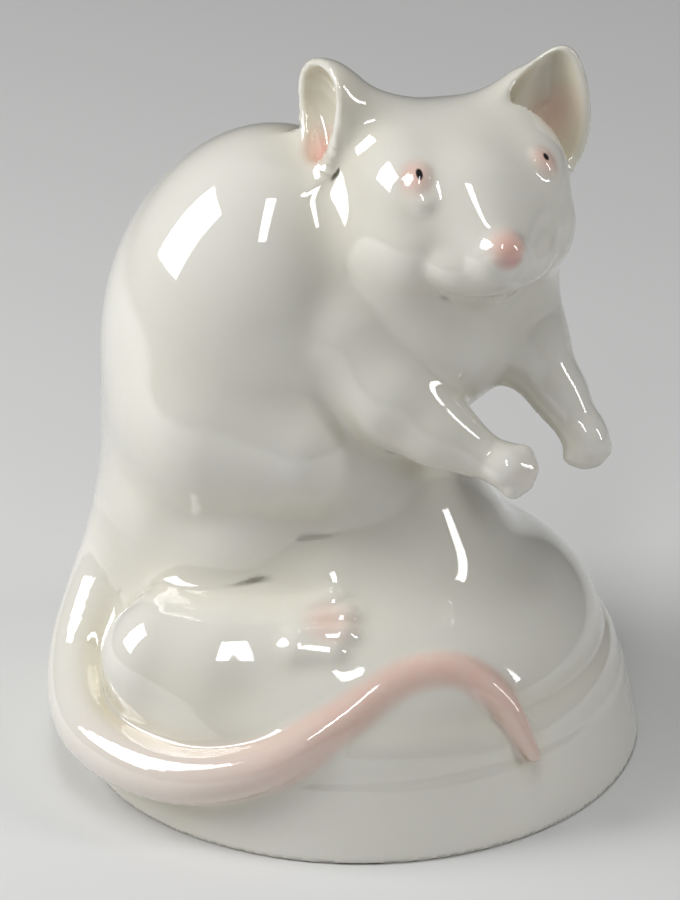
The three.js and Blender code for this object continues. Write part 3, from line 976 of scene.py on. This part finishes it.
@dataclass(frozen=True)
class Figurine:
    """Mouse, mound and base as one glazed casting."""

    torso: Torso
    head: Head
    ears: tuple[Ear, ...]
    feet: tuple[HindFoot, ...]
    tail: SweptTube
    mound: Mound = Mound()
    drum: Drum = Drum()
    glaze: Glaze = Glaze()
    patches: tuple[Patch, ...] = ()
    tail_blush: tuple[float, ...] = (0.0, 0.0, 0.0, 0.0, 0.04, 0.12, 0.24, 0.42, 0.58, 0.66, 0.66, 0.6, 0.45)
    blush_reach: float = 1.1
    hollow_probe: float = 3.0
    mound_melt: float = 10.0
    head_melt: float = 9.0
    ear_melt: float = 5.0
    tail_melt: float = 1.8
    rump_melt: float = 10.0

    def clay(self) -> Melt:
        """The mouse on its mound, before the ears are cupped."""
        head = (self.head_melt, self.head.form())
        feet = [form for foot in self.feet for form in foot.forms()]
        ears = [(self.ear_melt, ear.form()) for ear in self.ears]
        return Melt(self.torso.form(), ((self.mound_melt, self.mound), head, *feet, *ears))

    def bulk(self, p: np.ndarray) -> np.ndarray:
        """How far each point lies outside everything but the tail."""
        cupped = Carved(self.clay(), tuple((ear.cup_edge, ear.cup()) for ear in self.ears))
        return smooth_min(cupped.distance(p), self.drum.distance(p), self.seam_width(p))

    def distance(self, p: np.ndarray) -> np.ndarray:
        """How far each point lies outside the figurine. The tail melts widely into the rump alone."""
        rump = np.clip((p[:, 2] - 14.0) / 14.0, 0.0, 1.0) * np.clip((-12.0 - p[:, 0]) / 6.0, 0.0, 1.0)
        width = self.tail_melt + self.rump_melt * rump
        whole = smooth_min(self.bulk(p), self.tail.distance(p), width)
        return self.drum.underside(p, whole)

    def seam_width(self, p: np.ndarray) -> np.ndarray:
        """How far the glaze fills the groove above the drum: it closes towards the tail's side."""
        toward_tail = (-0.8 * p[:, 0] - 0.6 * p[:, 1]) / np.maximum(np.hypot(p[:, 0], p[:, 1]), 1e-3)
        return 1.2 + 9.0 * np.clip(0.5 + 0.9 * (toward_tail - 0.45), 0.0, 1.0)

    def blank(self) -> bpy.types.Mesh:
        """The rough blanks joined into one closed skin, with the ears' cups cut out."""
        whole = blank_object("figurine_blank", (self.clay(), self.drum, self.tail))
        cups = blank_object("ear_cups", [ear.cup() for ear in self.ears])
        add_remesh(whole, VOXEL_MM)
        cut = whole.modifiers.new("cups", "BOOLEAN")
        cut.operation = "DIFFERENCE"
        cut.solver = "MANIFOLD"
        cut.object = cups
        add_remesh(whole, VOXEL_MM)
        skin = modified(whole, "figurine_skin")
        bpy.data.objects.remove(cups)
        return skin

    def build(self, unit: float) -> bpy.types.Object:
        """Models the figurine.

        Args:
            unit: Metres to one of the sculptor's millimetres.

        Returns:
            The finished object, at the origin.
        """
        mesh = self.blank()
        p = np.empty(len(mesh.vertices) * 3)
        mesh.vertices.foreach_get("co", p)
        p = self.relaxed(mesh, settle(self.distance, p.reshape(-1, 3), 2))
        p = settle(self.distance, p, SETTLE_STEPS)
        normals = unit_rows(slope(self.distance, p))
        mesh.vertices.foreach_set("co", (p * unit).astype(np.float32).ravel())
        self.measure_layers(mesh, p, normals)
        mesh.shade_smooth()
        mesh.normals_split_custom_set_from_vertices(normals.astype(np.float32))
        mesh.update()
        piece = new_object("porcelain_mouse", mesh)
        mesh.materials.clear()
        mesh.materials.append(self.glaze.material(self.patches, unit))
        return piece

    def relaxed(self, mesh: bpy.types.Mesh, p: np.ndarray) -> np.ndarray:
        """Evens out the spacing of the skin's vertices.

        Args:
            mesh: The skin.
            p: Where its vertices are.

        Returns:
            Where its vertices go.
        """
        mesh.vertices.foreach_set("co", p.astype(np.float32).ravel())
        bm = bmesh.new()
        bm.from_mesh(mesh)
        axes = {f"use_axis_{axis}": True for axis in "xyz"}
        for _ in range(2):
            bmesh.ops.smooth_vert(bm, verts=bm.verts, factor=0.5, **axes)
        made = np.array([vert.co[:] for vert in bm.verts])
        bm.free()
        return made

    def measure_layers(self, mesh: bpy.types.Mesh, p: np.ndarray, normals: np.ndarray) -> None:
        """Measures where the tail is tinted and where hollows take pooled glaze and painted shade, at every
        vertex.

        Args:
            mesh: The skin, which takes the layers.
            p: Where its vertices are.
            normals: Which way they face.
        """
        centres, _ = self.tail.rings()
        nearest = np.zeros(len(p), dtype=int)
        gap = np.full(len(p), np.inf)
        for ring, centre in enumerate(centres):
            away = np.sum((p - centre) ** 2, axis=1)
            nearest = np.where(away < gap, ring, nearest)
            gap = np.minimum(gap, away)
        along = nearest / (len(centres) - 1) * (len(self.tail_blush) - 1)
        tint = np.interp(along, np.arange(len(self.tail_blush)), self.tail_blush)
        fade = np.clip(1.0 - in_chunks(self.tail.distance, p) / self.blush_reach, 0.0, 1.0)
        # painted shade: concave places, where a probe along the normal meets the clay again, get the hollow
        # layer
        probed = in_chunks(self.distance, p + normals * self.hollow_probe) / self.hollow_probe
        for layer, values in ((Layer.TAIL_BLUSH, tint * fade * fade * (3.0 - 2.0 * fade)),
                              (Layer.HOLLOW_SHADE, np.clip(1.0 - probed, 0.0, 1.0))):
            stored = mesh.attributes.new(layer.value, "FLOAT", "POINT")
            stored.data.foreach_set("value", values.astype(np.float32))


# The studio


@dataclass(frozen=True)
class Softbox:
    """A square studio light that looks at the figurine."""

    name: str
    azimuth: float
    elevation: float
    distance: float
    width: float
    height: float
    power: float
    mirrored: bool = True

    def build(self, target: Vector) -> None:
        """Hangs the light, looking at a target."""
        around, up = math.radians(self.azimuth), math.radians(self.elevation)
        back = Vector((math.sin(around) * math.cos(up), -math.cos(around) * math.cos(up), math.sin(up)))
        lamp = bpy.data.lights.new(self.name, "AREA")
        lamp.shape = "RECTANGLE"
        lamp.size = self.width
        lamp.size_y = self.height
        lamp.energy = self.power
        light = new_object(self.name, lamp)
        light.visible_glossy = self.mirrored
        place = Matrix.Translation(target + back * self.distance)
        light.matrix_world = place @ back.to_track_quat("Z", "Y").to_matrix().to_4x4()


@dataclass(frozen=True)
class Studio:
    """A pale floor, soft light and the camera at the photograph's angle."""

    softboxes: tuple[Softbox, ...]
    floor_size: float = 6.0
    floor_colour: Point = (0.74, 0.74, 0.73)
    air_colour: Point = (0.80, 0.82, 0.85)
    air_strength: float = 0.12
    camera_place: Point = (-0.002187, -0.61119, 0.34270)
    camera_tilt: float = 63.3
    lens: float = 243.2

    def floor(self) -> None:
        """Lays the plain floor."""
        bm = bmesh.new()
        bmesh.ops.create_grid(bm, x_segments=2, y_segments=2, size=self.floor_size / 2.0)
        mesh = new_mesh("floor", bm)
        floor = new_object("floor", mesh)
        material = bpy.data.materials.new("studio_paper")
        material.use_nodes = True
        shader = material.node_tree.nodes["Principled BSDF"]
        feed(shader, {"Base Color": (*self.floor_colour, 1.0), "Roughness": 0.9, "Specular IOR Level": 0.2})
        mesh.materials.append(material)

    def build(self, target: Vector) -> None:
        """Sets up everything around the figurine."""
        self.floor()
        for softbox in self.softboxes:
            softbox.build(target)
        world = bpy.data.worlds.new("studio_air")
        world.use_nodes = True
        feed(world.node_tree.nodes["Background"],
             {"Color": (*self.air_colour, 1.0), "Strength": self.air_strength})
        bpy.context.scene.world = world
        bpy.context.scene.view_settings.view_transform = "Standard"
        lens = bpy.data.cameras.new("camera")
        lens.lens = self.lens
        lens.clip_start = 0.01
        lens.clip_end = 20.0
        camera = new_object("camera", lens)
        camera.location = self.camera_place
        camera.rotation_euler = (math.radians(self.camera_tilt), 0.0, 0.0)
        bpy.context.scene.camera = camera


# This mouse


def porcelain_mouse() -> Figurine:
    """The figurine with its sizes and its paint."""
    near_foreleg = Foreleg(
        joints=(((-1, -3.4, 52.5), 9.6), ((3.6, -8.8, 47.2), 6), ((8.4, -11.6, 43.9), 3.9),
                ((12.8, -13.2, 41.8), 2.8)),
        paw=Paw((16, -14.6, 40.9), (3.4, 2.8, 2.5), turned(-38, -8), (15.5, -14.4, 40.6),
                ((18, -14.4, 41.9), (18.5, -15.3, 40.8), (18, -15.9, 39.6), (16.9, -16.2, 38.9))))
    far_foreleg = Foreleg(
        joints=(((15, -0.5, 57), 7), ((18.2, -2.6, 50.5), 4.7), ((22.2, -5.4, 45.2), 2.8),
                ((24.2, -7, 42.2), 2.5)),
        paw=Paw((25.2, -8, 41.1), (3.2, 2.5, 2.7), turned(-60, -40), (25, -7.8, 41.5),
                ((26.9, -8, 39.7), (26, -8.8, 39.1), (24.9, -9.1, 39), (23.8, -8.8, 39.3))))
    near_ear = Ear((-4, -0.3, 76.2), turned(209, 4, 13), 4.4, 6.8, -0.5,
                   RoundCone((6, -0.5, 71), (-1.2, 0.3, 77), 6.3, 3.2), 3.4, cup_lift=0.6)
    far_ear = Ear((20.6, 2.4, 76), turned(-84, 10, -17), 5.1, 7.7, 0.32,
                  RoundCone((14, 1, 71.5), (18, 4, 77), 6.0, 3.0), 2.6, cup_shift=-0.6, cup_edge=2.2)
    near_foot = HindFoot(
        (((-21.6, -14.6, 17), 7), ((-16, -16.4, 16.4), 7), ((-10.4, -17.2, 18), 5.6)),
        ((-2.9, -16.1, 24.1), (-1.8, -18.1, 23.3), (-2, -20.1, 22.3), (-3.1, -21.7, 21.1)))
    far_foot = HindFoot((((-19, 14.5, 18), 6.2), ((-13.5, 17, 17.5), 6), ((-8, 18.5, 18), 5)))
    tail = SweptTube((
        ((-19, 7, 33), 8.5), ((-23.2, 5, 25.5), 6.4), ((-28.3, 1.5, 17.3), 4.9), ((-31.3, -5, 11.2), 4.1),
        ((-30.6, -13.5, 8.2), 3.8), ((-26.1, -20.8, 7.4), 3.5), ((-18.5, -26.8, 8.2), 3.1),
        ((-10, -28.9, 11), 2.6), ((-2.5, -26.9, 15), 2.2), ((5, -23.2, 18.6), 1.9), ((11, -21.8, 18.6), 1.7),
        ((16, -22.8, 15.5), 1.5), ((19.4, -24.4, 9.7), 0.8)))
    head = Head()
    rose, nose, eye, speck = Pigment.ROSE, Pigment.NOSE, Pigment.EYE, Pigment.SPECK
    patches = (
        Patch(rose, (-3.9, -0.8, 73.0), (3.3, 3.5, 5.4), turned(209, 4, 13), 0.95),
        Patch(rose, (21.0, 1.9, 75.6), (4.6, 4.2, 5.6), turned(-84, 10, -17), 0.8),
        Patch(rose, head.at(4.6, -7.4, 5.3), (3.0, 2.6, 4.0), head.frame, 0.8),
        Patch(rose, head.at(4.8, 7.3, 6.0), (2.6, 2.3, 3.0), head.frame, 0.7),
        Patch(rose, head.at(14.3, 0.1, 2.1), (3.2, 2.9, 2.5), head.frame, 1.0, 0.75),
        Patch(nose, head.at(15.3, 0.2, 1.1), (2.3, 2.1, 1.6), head.frame, 0.55),
        Patch(rose, (-3.4, -18.8, 22.8), (4.4, 4.8, 3.8), strength=0.65),
        Patch(rose, (17.8, -15.9, 40.6), (2.6, 2.6, 2.4), strength=0.22),
        Patch(rose, (25.8, -8.6, 39.8), (2.4, 2.4, 2.0), strength=0.22),
        Patch(eye, head.at(5.0, -7.2, 6.4), (0.85, 0.45, 1.5), head.frame, 1.0, 0.4),
        Patch(eye, head.at(4.9, 7.4, 6.3), (0.6, 0.4, 1.5), head.frame, 1.0, 0.4),
        Patch(speck, (-4.7, -27.2, 13.6), (0.35, 0.35, 0.35), softness=0.5),
    )
    return Figurine(Torso(near_foreleg, far_foreleg), head, (near_ear, far_ear), (near_foot, far_foot), tail,
                    patches=patches)


STUDIO = Studio(softboxes=(
    Softbox("left_softbox", -85.0, 33.0, 0.45, 0.22, 0.30, 1.5),
    Softbox("strip_softbox", -6.0, 56.0, 0.5, 0.05, 0.25, 0.38),
    Softbox("right_softbox", 75.0, 26.0, 0.6, 0.08, 0.34, 0.7),
    Softbox("overhead_softbox", -20.0, 80.0, 0.6, 0.30, 0.30, 0.7, mirrored=False),
))


def main() -> None:
    """Loads the frame, dresses the figurine and sets up the studio."""
    logging.basicConfig(level=logging.INFO, format="%(message)s")
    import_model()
    low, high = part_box(NODE)
    unit = (high.z - low.z) / SCULPTED_HEIGHT_MM
    piece = porcelain_mouse().build(unit)
    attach(piece, BODY)
    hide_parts(NODE)
    log.info("%s: %d vertices", piece.name, len(piece.data.vertices))
    STUDIO.build((low + high) / 2.0)


if __name__ == "__main__":
    main()
